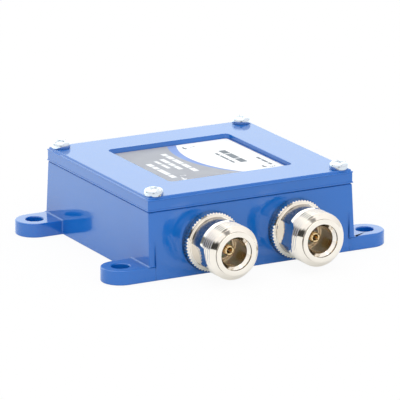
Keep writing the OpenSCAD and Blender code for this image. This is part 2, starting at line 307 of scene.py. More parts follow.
def film_material(name, ink):
    """Screen printed polyester film with a matt overlaminate: flat even ink under a soft sheen that ripples a
    little where the film follows its glue."""
    material = surface(name, ink, IOR=1.42, Roughness=0.55)
    # the screen's mesh is about 0.1 mm; the ink's density is drawn over 0.4 mm, so that it shows
    vary(material, 0.4 * MM, shades=(0.95, 1.02))
    # the glue's ripples are some millimetres wide
    vary(material, 4 * MM, roughness=(0.5, 0.6), relief=0.003 * MM, detail=0.0)
    return material


def copper_material(metals):
    """Rolled copper foil, lightly oxidised: soft orange with streaks along the rolling direction."""
    material = surface("rolled_copper", metals.copper, Metallic=1.0, Roughness=0.3)
    # rolling streaks are 0.2 mm wide
    vary(material, 0.2 * MM, shades=(0.78, 1.0), roughness=(0.24, 0.42), stretch=(1.0, 0.06, 1.0))
    return material


def laminate_material(metals):
    """Glass cloth pressed in PTFE: cream with the faint squares of the woven glass 0.5 mm apart."""
    material = surface("woven_laminate", metals.laminate, IOR=1.45, Roughness=0.5)
    tree = material.node_tree
    where = add_node(tree, "TexCoord").outputs["Object"]
    # a sine wave repeats once in a twentieth of a unit for each unit of its scale
    yarns = {"Vector": where, "Scale": 1 / (0.5 * MM) / 20, "Distortion": 0.4, "Detail": 1.0}
    warp, weft = (add_node(tree, "TexWave", yarns, bands_direction=way).outputs["Fac"] for way in "XY")
    cloth = add_node(tree, "Math", {0: warp, 1: weft}, operation="MULTIPLY").outputs["Value"]
    vary(material, cloth, shades=(0.88, 1.0), relief=0.01 * MM)
    return material


# vertices closer than this are one
MERGE = 0.0005 * MM


def add_object(name, data):
    """New object in the scene."""
    thing = bpy.data.objects.new(name, data)
    bpy.context.scene.collection.objects.link(thing)
    return thing


def add_mesh(name, bm, materials):
    """New object in the scene, with the faces of a bmesh."""
    mesh = bpy.data.meshes.new(name)
    bm.to_mesh(mesh)
    bm.free()
    for material in materials:
        mesh.materials.append(material)
    return add_object(name, mesh)


def finish_piece(name, bm, materials, slot, replaces=(), place=None, sharp=32, flat_faces=False):
    """Turns a bmesh into a piece that rides on the body, smooth but for edges of more than sharp degrees."""
    if not bm.faces:
        raise RuntimeError(f"{name} has no faces")
    bmesh.ops.recalc_face_normals(bm, faces=bm.faces)
    piece = add_mesh(name, bm, materials)
    piece.data.shade_smooth()
    piece.data.set_sharp_from_angle(angle=math.radians(sharp))
    if place is not None:
        piece.matrix_world = place
    if flat_faces:
        # the rounded edges are shaded round and the faces between them flat
        weighted = piece.modifiers.new("flat_faces", "WEIGHTED_NORMAL")
        weighted.weight = 100
        weighted.keep_sharp = True
    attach(piece, BODY)
    if replaces:
        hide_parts(*replaces)


def dress_node(node, material):
    """Gives a solid of the frame its material."""
    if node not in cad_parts:
        raise RuntimeError(f"the frame has no {node}")
    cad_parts[node].material_slots[0].material = material


# edges that bend more than this are rounded, and faces that bend less than this are merged
ROUNDED_ABOVE = math.radians(38)
FLAT_BELOW = math.radians(0.5)


def eased_copy(node, radius, keep_sharp):
    """Mesh of a solid with its flat faces merged and its sharp edges rounded, apart from those that the test
    keep_sharp picks by their middle."""
    bm = bmesh.new()
    bm.from_mesh(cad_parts[node].data)
    bmesh.ops.remove_doubles(bm, verts=bm.verts, dist=2 * MERGE)
    bmesh.ops.dissolve_limit(bm, angle_limit=FLAT_BELOW, verts=bm.verts, edges=bm.edges)
    edges = [
        edge
        for edge in bm.edges
        if edge.is_manifold
        and edge.calc_face_angle() > ROUNDED_ABOVE
        and not keep_sharp((edge.verts[0].co + edge.verts[1].co) / 2)
    ]
    rounding = {"offset": radius, "offset_type": "OFFSET", "segments": 3, "profile": 0.5, "affect": "EDGES"}
    bmesh.ops.bevel(bm, geom=edges, clamp_overlap=False, **rounding)
    return bm


def circle(bm, radius, height, count):
    """Ring of vertices round the Z axis; its radius and height may be functions of the angle."""
    ring = []
    for i in range(count):
        angle = 2 * math.pi * i / count
        reach = radius(angle) if callable(radius) else radius
        level = height(angle) if callable(height) else height
        ring.append(bm.verts.new((reach * math.cos(angle), reach * math.sin(angle), level)))
    return ring


def skin(bm, first, second, material=0):
    """Faces between two rings; the material may be a function of the angle."""
    count = len(first)
    for i in range(count):
        j = (i + 1) % count
        face = bm.faces.new((first[i], first[j], second[j], second[i]))
        face.material_index = material(2 * math.pi * (i + 0.5) / count) if callable(material) else material


def lathe(bm, profile, count, material=0):
    """Skin over a profile of (radius, height) points, open at both ends; returns its rings."""
    rings = [circle(bm, radius, height, count) for radius, height in profile]
    for first, second in zip(rings, rings[1:]):
        skin(bm, first, second, material)
    return rings


# lengths along a jack, from its seat on the wall outwards
COLLAR_T = 3.8 * MM
STEP_L = 0.8 * MM
NECK_L = 5.3 * MM
BARREL_L = 5.9 * MM
LEAD_L = 0.9 * MM
NOSE_L = 0.8 * MM
TEETH_TOP = COLLAR_T - STEP_L
NECK_TOP = COLLAR_T + NECK_L
LEAD_TOP = NECK_TOP + BARREL_L + LEAD_L
JACK_L = COLLAR_T + NECK_L + BARREL_L + LEAD_L + NOSE_L
SEAT_Y = -JACK_LOW.y - JACK_L
SHANK_L = SEAT_Y + JACK_HIGH.y

# depths from the tip of a jack, and the height of its bead's front
MOUTH_DEPTH = 0.7 * MM
CONE_DEPTH = 1.6 * MM
BORE_DEPTH = 9.1 * MM
BEAD_Z = 2.6 * MM

# radii of a jack
SHANK_R = 6.5 * MM
STEP_R = 7.85 * MM
NECK_R = 7.45 * MM
FLAT_R = 6.65 * MM
THREAD_R = 7.94 * MM
NOSE_R = 6.35 * MM
MOUTH_R = 4.85 * MM
BORE_R = 4.065 * MM
LINE_R = 3.5 * MM
BEAD_R = 4.6 * MM

# broken corners of a jack: on its collar, its nose, its mouth and the end of its bore
COLLAR_EASE = 0.12 * MM
NOSE_EASE = 0.15 * MM
MOUTH_EASE = 0.12 * MM
BORE_EASE = 0.1 * MM
# foot of the step on the collar, outwards and up
STEP_FOOT = (0.25 * MM, 0.1 * MM)
# radius at which the collar's chamfer starts, and its fall
CHAMFER_R = 8.2 * MM
CHAMFER_SLOPE = 0.58

# the wrench flats run on into the barrel, until a cutter of this radius leaves them
FLAT_RUN = 1.7 * MM
CUTTER_R = 1.25 * MM
# least cosine of the angle to a flat's middle that the flat can reach
FLAT_REACH = 0.5

# cone at the low end of the thread
LAND_L = 1.2 * MM
LAND_SLOPE = 0.25
# flank of the thread, half a crest's width as a share of the pitch, and the radius of the crest's edges
FLANK = math.radians(60)
CREST_SHARE = 1 / 14
CREST_EASE = 0.1 * MM

# material slots of a jack
# the dull slot's plating is darkened with painted shade
PLATED, BORED, DULL_SHADED = range(3)


def jack_place(x, way):
    """Puts a jack, drawn along +Z from its seat, on its wall."""
    return Matrix.Translation((x, way * SEAT_Y, JACK_Z)) @ Matrix.Rotation(-way * math.pi / 2, 4, "X")


def barrel_radius(angle, height, turn):
    """Radius over the crests of the barrel, with its turned flats and its lead chamfer."""
    lead = NOSE_R + (LEAD_TOP - height) * (THREAD_R - NOSE_R) / LEAD_L
    across = abs(math.cos(angle - turn))
    # the round milling cutter leaves the flat in an arc
    past = max(height - NECK_TOP - FLAT_RUN, 0)
    if across < FLAT_REACH or past >= CUTTER_R:
        return min(THREAD_R, lead)
    return min(THREAD_R, (FLAT_R + CUTTER_R - math.sqrt(CUTTER_R**2 - past**2)) / across, lead)


def thread_rows(pitch, depth):
    """Outline of a thread from crest to crest, as (share of the pitch, depth below the crest)."""
    arc = [(0.0, 0.0)]
    for bend in (0, FLANK / 3, FLANK * 2 / 3, FLANK):
        arc.append((pitch * CREST_SHARE + CREST_EASE * math.sin(bend), CREST_EASE * (1 - math.cos(bend))))
    along, down = arc[-1]
    rest = depth - down
    flank = [(along + rest / math.tan(FLANK) * n / 4, down + rest * n / 4) for n in (1, 2, 3, 4)]
    half = [(distance / pitch, drop) for distance, drop in arc + flank]
    return half + [(1 - share, drop) for share, drop in half[:0:-1]]


def thread_skin(bm, jacks, count, turn):
    """Helical thread along the barrel, with a plain cone and the ends of the wrench flats at its low end."""
    rows = thread_rows(jacks.pitch, jacks.depth)
    turns = math.ceil((LEAD_TOP - NECK_TOP) / jacks.pitch) + 1

    def corner(share, drop, column):
        height = min(max(NECK_TOP + jacks.pitch * (share + column / count - 1), NECK_TOP), LEAD_TOP)
        past = height - NECK_TOP
        # next to the neck the thread gives way to the cone
        outline = THREAD_R - past * LAND_SLOPE if past < LAND_L else THREAD_R - drop
        angle = 2 * math.pi * column / count
        reach = min(barrel_radius(angle, height, turn), outline)
        return bm.verts.new((reach * math.cos(angle), reach * math.sin(angle), height))

    grid = [
        [corner(n + share, drop, column) for column in range(count + 1)]
        for n in range(turns + 1)
        for share, drop in rows
    ]
    for lower, upper in zip(grid, grid[1:]):
        for i in range(count):
            bm.faces.new((lower[i], lower[i + 1], upper[i + 1], upper[i]))


# cast edge of the lid plate in millimetres: how far in from the side, how far under the top or over the
# foot, and the radius of its corners; down from the top come the rounding, a ledge and a bead
LID_ROUNDING = [
    (0.8 - 0.34 * math.sin(bend), 0.5 * (1 - math.cos(bend)), 0.4 * math.sin(bend))
    for bend in (math.pi / 2 * i / 6 for i in range(7))
]
LID_BEAD = ((0.4, 0.57, 0.4), (0.1, 0.61, 0.5), (0.02, 0.66, 0.5), (0, 0.74, 0.5), (0, 0.94, 0.5))
# the side stands a little back, and the foot comes out again
LID_SIDE = ((0.15, 2.95, 0.45), (0.15, 0.42, 0.45), (0.03, 0.38, 0.5))
LID_FOOT = (*LID_SIDE, (0, 0.33, 0.5), (0, 0.06, 0.5), (0, 0, 0))

# depths of the two ledges in the front and back walls of the pocket, and their width
POCKET_LEDGES = (0.45 * MM, 0.9 * MM)
LEDGE_W = 0.17 * MM
# half the height over which a ledge is cut
LEDGE_STEP = 0.02 * MM
# how far the pocket's side walls and its front and back ones lean in
SIDE_DRAFT = 0.05 * MM
END_DRAFT = 0.08 * MM


def corner_ring(bm, half_x, half_y, radius, height, steps=4):
    """Ring of vertices round a rectangle with rounded corners."""
    ring = []
    for quarter, (sx, sy) in enumerate(((1, 1), (-1, 1), (-1, -1), (1, -1))):
        for i in range(steps + 1):
            angle = math.pi / 2 * (quarter + i / steps)
            x = sx * (half_x - radius) + radius * math.cos(angle)
            y = sy * (half_y - radius) + radius * math.sin(angle)
            ring.append(bm.verts.new((x, y, height)))
    return ring


def near_side(point, margin):
    """Whether a point is closer than a margin to a side of the lid."""
    return abs(point.x) > LID_HIGH.x - margin or abs(point.y) > LID_HIGH.y - margin


def cast_lid_edge(bm):
    """Swaps the plain edge of the lid plate for the cast one, with its ledge, bead and foot."""
    reach = (LID_ROUNDING[0][0] + 0.01) * MM
    rim = [
        face
        for face in bm.faces
        if abs(face.normal.z) < 0.999 and all(near_side(vertex.co, reach) for vertex in face.verts)
    ]
    bmesh.ops.delete(bm, geom=rim, context="FACES")
    thick = (LID_HIGH.z - LID_LOW.z) / MM
    foot = ((inset, thick - rise, corner) for inset, rise, corner in LID_FOOT)
    rings = [
        corner_ring(bm, LID_HIGH.x - inset * MM, LID_HIGH.y - inset * MM, corner * MM, LID_HIGH.z - drop * MM)
        for inset, drop, corner in (*LID_ROUNDING, *LID_BEAD, *foot)
    ]
    for upper, lower in zip(rings, rings[1:]):
        skin(bm, upper, lower)
    bmesh.ops.remove_doubles(bm, verts=bm.verts, dist=4 * MERGE)


def cast_pocket_walls(bm):
    """Leans the walls of the label's pocket in, and cuts two narrow ledges into the front and back ones."""
    centre = (LABEL_LOW + LABEL_HIGH) / 2
    half = (LABEL_HIGH.x - LABEL_LOW.x) / 2 + 1 * MM
    sink = LID_HIGH.z - LABEL_LOW.z
    for ledge in POCKET_LEDGES:
        for step in (-LEDGE_STEP, LEDGE_STEP):
            cut = {"plane_co": (0, 0, LID_HIGH.z - ledge + step), "plane_no": (0, 0, 1), "dist": 2 * MERGE}
            bmesh.ops.bisect_plane(bm, geom=[*bm.verts, *bm.edges, *bm.faces], **cut)
    for vertex in bm.verts:
        offset = vertex.co - centre
        drop = LID_HIGH.z - vertex.co.z
        if max(abs(offset.x), abs(offset.y)) > half or not 0.01 * MM < drop < sink + 0.01 * MM:
            continue
        ledges = sum(drop > ledge for ledge in POCKET_LEDGES)
        vertex.co.x -= offset.x * SIDE_DRAFT * drop / sink / half
        vertex.co.y -= offset.y * (END_DRAFT * drop / sink + LEDGE_W * ledges) / half


# an edge this close to a side, or to a face, is on it
SIDE_NEAR = 1 * MM
FACE_NEAR = 0.1 * MM
# how far the lid and the collars hide the box's edges
COVERED = 0.6 * MM
# reach of the screw heads from the lid's middle, along X and along Y
HEADS_X = (28 * MM, 32 * MM)
HEADS_Y = (27 * MM, 32 * MM)


def sharp_on_box(point):
    """Whether an edge of the box stays sharp: inside it, under the lid, or behind a jack's collar."""
    inside = not near_side(point, SIDE_NEAR) and point.z > 0.5 * MM
    under_lid = point.z > HOUSING_TOP - FACE_NEAR and not near_side(point, COVERED)
    in_jack_wall = abs(point.y) > LID_HIGH.y - 5 * MM
    behind_collar = in_jack_wall and any(
        math.hypot(point.x - x, point.z - JACK_Z) < COLLAR_R + COVERED for x, _, _ in JACKS.values()
    )
    return inside or under_lid or behind_collar


def sharp_on_lid(point):
    """Whether an edge of the lid stays sharp: on its underside, under a screw's head, or on the cast rim."""
    under_head = HEADS_X[0] < abs(point.x) < HEADS_X[1] and HEADS_Y[0] < abs(point.y) < HEADS_Y[1]
    return point.z < LID_LOW.z + FACE_NEAR or under_head or near_side(point, SIDE_NEAR)


class TAPPER_OT_casting(Operator):
    """Rounds the edges of the box and its lid and paints them"""

    bl_idname = "tapper.casting"
    bl_label = "Box and lid"

    def execute(self, context):
        paint = context.scene.tapper_paint
        enamel = enamel_material(paint)
        box = eased_copy("housing", paint.edge, sharp_on_box)
        finish_piece("housing_casting", box, [enamel], "paint_blue", replaces=["housing"], flat_faces=True)
        # the pocket was milled after casting, so its edges are keener
        plate = eased_copy("lid", paint.edge * 0.4, sharp_on_lid)
        cast_lid_edge(plate)
        cast_pocket_walls(plate)
        finish_piece("lid_plate", plate, [enamel], "paint_blue", replaces=["lid"], flat_faces=True)
        return {"FINISHED"}


class TAPPER_OT_seal(Operator):
    """Gives the seal between lid and box its rubber"""

    bl_idname = "tapper.seal"
    bl_label = "Lid seal"

    def execute(self, context):
        dress_node("lid_seal", seal_material(context.scene.tapper_paint))
        return {"FINISHED"}


class TAPPER_OT_jacks(Operator):
    """Builds the three jacks with their toothed collars, wrench flats, threads and stepped bores"""

    bl_idname = "tapper.jacks"
    bl_label = "Jacks"

    def execute(self, context):
        jacks = context.scene.tapper_jacks
        metals = [plating_material(jacks), bore_material(jacks), shaded_neck_material(jacks)]
        for name, (x, way, turn) in JACKS.items():
            bm = bmesh.new()
            self.turn_shell(bm, jacks, math.radians(turn))
            solid = {"replaces": [f"jack_{name}_body"], "place": jack_place(x, way)}
            finish_piece(f"jack_{name}_shell", bm, metals, "jack_plating", **solid, sharp=28, flat_faces=True)
        return {"FINISHED"}

    def turn_shell(self, bm, jacks, turn):
        """Whole skin of a jack, from its shank round its nose and back down its bore."""
        # four columns for each tooth draw it with its point and its root
        count = jacks.teeth * 4

        def crest(angle):
            """Radius over the pointed teeth of the collar."""
            phase = angle * jacks.teeth / (2 * math.pi) % 1
            return COLLAR_R - jacks.tooth * 2 * min(phase, 1 - phase)

        def neck(angle):
            """Radius of the neck with its two wrench flats."""
            across = abs(math.cos(angle - turn))
            return min(NECK_R, FLAT_R / across) if across > FLAT_REACH else NECK_R

        def chamfered(angle):
            """Height at which the chamfer of the collar cuts its teeth."""
            return TEETH_TOP - (crest(angle) - CHAMFER_R) * CHAMFER_SLOPE

        def neck_metal(angle):
            """The wrench flats are bright, and only the groove between them is dull and darkened with painted
            shade.
            """
            return PLATED if neck(angle) < NECK_R else DULL_SHADED

        shank_and_collar = [
            (BEAD_R, -SHANK_L),
            (SHANK_R, -SHANK_L),
            (SHANK_R, 0),
            (lambda angle: crest(angle) - COLLAR_EASE, 0),
            (crest, COLLAR_EASE),
            (crest, chamfered),
            (CHAMFER_R, TEETH_TOP),
            (STEP_R + STEP_FOOT[0], TEETH_TOP),
            (STEP_R, TEETH_TOP + STEP_FOOT[1]),
            (STEP_R, COLLAR_T - COLLAR_EASE),
            (STEP_R - COLLAR_EASE, COLLAR_T),
            (neck, COLLAR_T),
        ]
        back_of_barrel = [(neck, NECK_TOP), (lambda angle: barrel_radius(angle, NECK_TOP, turn), NECK_TOP)]
        nose_band = [(NOSE_R, LEAD_TOP), (NOSE_R, JACK_L - NOSE_EASE)]
        nose_rounding = [
            (NOSE_R - NOSE_EASE * (1 - math.cos(bend)), JACK_L - NOSE_EASE * (1 - math.sin(bend)))
            for bend in (math.pi / 2 * i / 3 for i in range(4))
        ]
        mouth = [
            (MOUTH_R + MOUTH_EASE, JACK_L),
            (MOUTH_R, JACK_L - MOUTH_EASE),
            (MOUTH_R, JACK_L - MOUTH_DEPTH),
            (BORE_R, JACK_L - CONE_DEPTH),
        ]
        bore = [
            (BORE_R, JACK_L - CONE_DEPTH),
            (BORE_R, JACK_L - BORE_DEPTH + BORE_EASE),
            (BORE_R - BORE_EASE, JACK_L - BORE_DEPTH),
            (LINE_R, JACK_L - BORE_DEPTH),
            (LINE_R, BEAD_Z),
            (BEAD_R, BEAD_Z),
            (BEAD_R, -SHANK_L),
        ]
        lathe(bm, shank_and_collar, count)
        lathe(bm, [(neck, COLLAR_T), (neck, NECK_TOP)], count, neck_metal)
        lathe(bm, back_of_barrel, count)
        thread_skin(bm, jacks, count, turn)
        # the nose band takes the dull plating, darkened with painted shade
        lathe(bm, nose_band, count, DULL_SHADED)
        lathe(bm, nose_rounding + mouth, count)
        lathe(bm, bore, count, BORED)
        bmesh.ops.remove_doubles(bm, verts=bm.verts, dist=MERGE)


class TAPPER_OT_contacts(Operator):
    """Gives the centre contacts their gold and the beads their plastic"""

    bl_idname = "tapper.contacts"
    bl_label = "Contacts and beads"

    def execute(self, context):
        jacks = context.scene.tapper_jacks
        gold, bead = gold_material(jacks), bead_material(jacks)
        for name in JACKS:
            dress_node(f"jack_{name}_contact", gold)
            dress_node(f"jack_{name}_insulator", bead)
        return {"FINISHED"}


# pan head of a lid screw: its height, how far its rounding reaches in, the upright share of its height, the
# broken corner of its seat, the radius of its innermost ring, its rings, the degrees between those of its
# rounding, and its columns
PAN_H = 2.0 * MM
PAN_CURVE = 1.1 * MM
PAN_UPRIGHT = 0.45
PAN_SEAT_EASE = (0.15 * MM, 0.2 * MM)
PAN_EYE_R = 0.03 * MM
PAN_RINGS = 16
PAN_BEND = 9
PAN_COUNT = 96
SCREW_SHANK_R = 1.45 * MM
# width, length and depth of the cross, and of the slot across it; both are shallow, as plating fills them
CROSS = (0.8 * MM, 3.2 * MM, 0.5 * MM)
SLOT = (0.6 * MM, 8 * MM, 0.3 * MM)
# width of a groove's sloping wall
GROOVE_WALL = 0.15 * MM
# degrees that a screw is turned for its side and for its end of the lid
SCREW_TURNS = (25, 40)


def groove_share(across, along, width, length):
    """Share of a groove's depth that is cut at a place, from 0 on the land to 1 on the groove's floor."""
    inside = min(width / 2 - abs(across), length / 2 - abs(along))
    return min(max(inside / GROOVE_WALL + 0.5, 0), 1)


def pan_height(dome, x, y):
    """Height of a pan head at a place, under a dome of that height."""
    cross = max(groove_share(x, y, *CROSS[:2]), groove_share(y, x, *CROSS[:2]))
    cuts = ((cross, CROSS[2]), (groove_share(y, x, *SLOT[:2]), SLOT[2]))
    return min(dome - share * max(dome - PAN_H + depth, 0) for share, depth in cuts)


class TAPPER_OT_screws(Operator):
    """Builds the lid screws with their pan heads, and plates them and the board screws"""

    bl_idname = "tapper.screws"
    bl_label = "Screws"

    def execute(self, context):
        zinc = zinc_material(context.scene.tapper_metal)
        for corner in CORNERS:
            dress_node(f"board_screw_{corner}", zinc)
            node = f"screw_{corner}"
            low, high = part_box(node)
            middle = (low + high) / 2
            side, end = SCREW_TURNS
            turn = math.radians(math.copysign(side, middle.x) + math.copysign(end, middle.y))
            bm = bmesh.new()
            self.turn_screw(bm, (high.x - low.x) / 2, LID_HIGH.z - low.z)
            place = Matrix.Translation((middle.x, middle.y, LID_HIGH.z)) @ Matrix.Rotation(turn, 4, "Z")
            finish_piece(f"{node}_head", bm, [zinc], "screw_steel", replaces=[node], place=place, sharp=50)
        return {"FINISHED"}

    def turn_screw(self, bm, head_r, length):
        """Screw along Z with its head seated at 0."""
        side_h = PAN_H * PAN_UPRIGHT
        flat_r = head_r - PAN_CURVE
        outline = [(PAN_EYE_R + (flat_r - PAN_EYE_R) * i / PAN_RINGS, PAN_H) for i in range(PAN_RINGS)]
        for degrees in range(90, -1, -PAN_BEND):
            bend = math.radians(degrees)
            outline.append((flat_r + PAN_CURVE * math.cos(bend), side_h + (PAN_H - side_h) * math.sin(bend)))

        def on_dome(radius, dome):
            return lambda angle: pan_height(dome, radius * math.cos(angle), radius * math.sin(angle))

        top = lathe(bm, [(radius, on_dome(radius, dome)) for radius, dome in outline], PAN_COUNT)
        bm.faces.new(top[0])
        seat_in, seat_up = PAN_SEAT_EASE
        under = [(head_r, side_h), (head_r, seat_up), (head_r - seat_in, 0)]
        under += [(SCREW_SHANK_R, 0), (SCREW_SHANK_R, -length)]
        bm.faces.new(lathe(bm, under, PAN_COUNT)[-1])
        bmesh.ops.remove_doubles(bm, verts=bm.verts, dist=MERGE)


class TAPPER_OT_board(Operator):
    """Gives the circuit board inside the box its laminate and copper"""

    bl_idname = "tapper.board"
    bl_label = "Circuit board"

    def execute(self, context):
        metals = context.scene.tapper_metal
        dress_node("circuit_board", laminate_material(metals))
        copper = copper_material(metals)
        dress_node("copper_track", copper)
        dress_node("ground_foil", copper)
        return {"FINISHED"}


# layout of the label in millimetres, with X to the right and Y to the back of the box: first its bare border,
# the size of a cut corner, and how far in its middle lies as a share of that
BORDER = 0.22
LABEL_CORNER = 1.0
CORNER_CUT = 0.3
LABEL_LEFT = LABEL_LOW.x / MM + BORDER
LABEL_RIGHT = LABEL_HIGH.x / MM - BORDER
LABEL_BACK = LABEL_HIGH.y / MM - BORDER
LABEL_FRONT = LABEL_LOW.y / MM + BORDER
# where the grey field ends and the white ground starts: at the back edge, the waist and the front edge
FIELD_END = ((0.1, LABEL_BACK), (-2.15, 2), (9.5, LABEL_FRONT))
GROUND_START = ((3.1, LABEL_BACK), (-0.25, 2), (9.5, LABEL_FRONT))
# how far the ink reaches into the film, and the height of a layer of it
INK_FOOT = 0.005 * MM
INK_LAYER = 0.02 * MM
# rows of blocks that stand for print: X, start, lengths, gap and height
LIGHT_ROWS = (
    (-5.0, 13.0, (2.2, 3.4, 5.0, 4.2, 3.6), 0.7, 1.7),
    (-8.1, 8.0, (4.6, 2.8, 3.6), 0.7, 1.5),
    (-10.7, 6.8, (3.4, 4.6), 0.7, 1.1),
    (-14.0, 5.0, (3.0, 2.4, 6.2, 3.0), 0.7, 1.7),
)
DARK_ROWS = (
    (12.0, 8.4, (3.6, 5.2, 4.2), 0.6, 2.2),
    (9.0, 6.4, (2.4, 5.0, 3.0), 0.6, 0.8),
    (17.6, -3.0, (2.4, 3.4, 2.0), 0.6, 0.8),
)
# arrow and number of each jack: the arrow's tip, length and half width, and the digit, its corner and height
LIGHT_SIGNS = (((-12.3, -15.5), 3.0, 0.9, "2", (-11.6, -10.4), 1.6),)
DARK_SIGNS = (
    ((3.6, 14.5), 2.6, 0.8, "1", (5.6, 16.6), 1.7),
    ((14.6, -14.2), 2.6, 0.8, "3", (16.0, -13.4), 1.7),
)
# shape of an arrow: its head as a share of its length, and its shaft as a share of its width
ARROW_HEAD = 0.45
ARROW_SHAFT = 0.3
# numbers as lines in a box one high and about half wide
DIGITS = {
    "1": [[(0.1, 0.75), (0.35, 1), (0.35, 0)]],
    "2": [
        [(0.02, 0.78), (0.1, 0.95), (0.28, 1), (0.46, 0.93), (0.52, 0.75), (0.42, 0.5), (0.04, 0), (0.55, 0)]
    ],
    "3": [
        [(0.04, 0.88), (0.16, 0.98), (0.32, 1), (0.48, 0.9), (0.48, 0.66), (0.36, 0.54), (0.2, 0.52)],
        [(0.2, 0.52), (0.4, 0.48), (0.53, 0.32), (0.5, 0.1), (0.34, 0), (0.16, 0.02), (0.02, 0.13)],
    ],
}
# width of a number's lines as a share of its height
DIGIT_LINE = 0.14


def arc_through(back, waist, front, steps=24):
    """Points of the arc from one point through a second to a third."""
    (ax, ay), (bx, by), (cx, cy) = back, waist, front
    a2, b2, c2 = (x * x + y * y for x, y in (back, waist, front))
    span = 2 * (ax * (by - cy) + bx * (cy - ay) + cx * (ay - by))
    x = (a2 * (by - cy) + b2 * (cy - ay) + c2 * (ay - by)) / span
    y = (a2 * (cx - bx) + b2 * (ax - cx) + c2 * (bx - ax)) / span
    radius = math.hypot(ax - x, ay - y)
    first, last = (math.atan2(py - y, px - x) % (2 * math.pi) for px, py in (back, front))
    angles = [first + (last - first) * i / steps for i in range(steps + 1)]
    return [(x + radius * math.cos(angle), y + radius * math.sin(angle)) for angle in angles]


def side_outline(x, inward):
    """Outline down one side of the label, with its two cut corners."""
    cut = LABEL_CORNER * CORNER_CUT
    front = [(x + inward * LABEL_CORNER, 0), (x + inward * cut, cut), (x, LABEL_CORNER)]
    return [(px, LABEL_FRONT + py) for px, py in front] + [(px, LABEL_BACK - py) for px, py in front[::-1]]


def ink(bm, outline, layer):
    """Ink with a closed outline in millimetres, up to the top of a layer."""
    low, high = (
        [bm.verts.new((x * MM, y * MM, height)) for x, y in outline]
        for height in (LABEL_HIGH.z - INK_FOOT, LABEL_HIGH.z + INK_LAYER * layer)
    )
    bm.faces.new(high)
    bm.faces.new(low[::-1])
    skin(bm, low, high)


def stroke(bm, points, width):
    """Printed line of even width through some points, with square ends."""
    left, right = [], []
    for i, (x, y) in enumerate(points):
        before = points[max(i - 1, 0)]
        after = points[min(i + 1, len(points) - 1)]
        along = Vector((after[0] - before[0], after[1] - before[1])).normalized()
        side = Vector((-along.y, along.x)) * width / 2
        left.append((x + side.x, y + side.y))
        right.append((x - side.x, y - side.y))
    ink(bm, left + right[::-1], 2)


def arrow(bm, tip, length, half_width):
    """Arrow that points to the front edge."""
    x, y = tip
    head = y + ARROW_HEAD * length
    shaft = half_width * ARROW_SHAFT
    left = [(x - half_width, head), (x - shaft, head), (x - shaft, y + length)]
    ink(bm, [(x, y), *left, *((2 * x - px, py) for px, py in left[::-1])], 2)


def number(bm, digit, corner, height):
    """Plain number that reads from the back to the front, as the rest of the label does."""
    x, y = corner
    for line in DIGITS[digit]:
        stroke(bm, [(x + up * height, y - along * height) for along, up in line], DIGIT_LINE * height)


def printed_field(outline):
    """Mesh of one field of ink."""
    bm = bmesh.new()
    ink(bm, outline, 1)
    return bm


def printed_marks(rows, signs):
    """Mesh of rows of blocks that run towards the front, and of arrows with their numbers."""
    bm = bmesh.new()
    for x, start, lengths, gap, height in rows:
        left, right = x - height / 2, x + height / 2
        for length in lengths:
            ink(bm, [(left, start), (right, start), (right, start - length), (left, start - length)], 2)
            start -= length + gap
    for tip, length, half_width, digit, corner, height in signs:
        arrow(bm, tip, length, half_width)
        number(bm, digit, corner, height)
    return bm


class TAPPER_OT_label(Operator):
    """Prints the label: a grey field, a curved band, a white ground, and rows of plain marks"""

    bl_idname = "tapper.label"
    bl_label = "Label"

    def execute(self, context):
        label = context.scene.tapper_label
        dress_node("label", film_material("label_film", label.film))
        field_end, ground_start = arc_through(*FIELD_END), arc_through(*GROUND_START)
        white = printed_field(ground_start + side_outline(LABEL_RIGHT, -1))
        grey = printed_field(field_end + side_outline(LABEL_LEFT, 1))
        band = printed_field(field_end[:-1] + ground_start[::-1])
        light_marks, marks = printed_marks(LIGHT_ROWS, LIGHT_SIGNS), printed_marks(DARK_ROWS, DARK_SIGNS)
        prints = (
            ("white_ground", white, "white_ink", label.white),
            ("dark_field", grey, "dark_ink", label.field),
            ("band", band, "band_ink", label.band),
            ("light_marks", light_marks, "light_ink", label.light_mark),
            ("marks", marks, "mark_ink", label.mark),
        )
        for name, bm, ink_name, color in prints:
            finish_piece(f"label_{name}", bm, [film_material(f"label_{ink_name}", color)], "label")
        return {"FINISHED"}


# share of the floor that the camera sees as pure white; the rest shows the shadow
FLOOR_WHITE = 0.93
# the floor lies this far under the object
FLOOR_GAP = 0.05 * MM
# middle of the camera's view
AIM = Vector((0.25, -0.3, 11.5)) * MM
# ways to the dark things that gloss mirrors; the camera's stand is a little under its lens
STAND_DROP = Vector((0, 0, 0.16))
LAMP_BOOM = Vector((0.1, -0.79, 0.6))
BLACK_FLAG = Vector((-0.8, 0.5, 0.31))
WHITE = (1, 1, 1, 1)


def shown_to_rays(tree, matt, gloss, camera):
    """Shader that shows one thing to matt surfaces, another to gloss and a third to the camera."""
    rays = add_node(tree, "LightPath").outputs
    mirrored = add_node(tree, "MixShader", {0: rays["Is Glossy Ray"], 1: matt, 2: gloss}).outputs["Shader"]
    return add_node(tree, "MixShader", {0: rays["Is Camera Ray"], 1: mirrored, 2: camera}).outputs["Shader"]


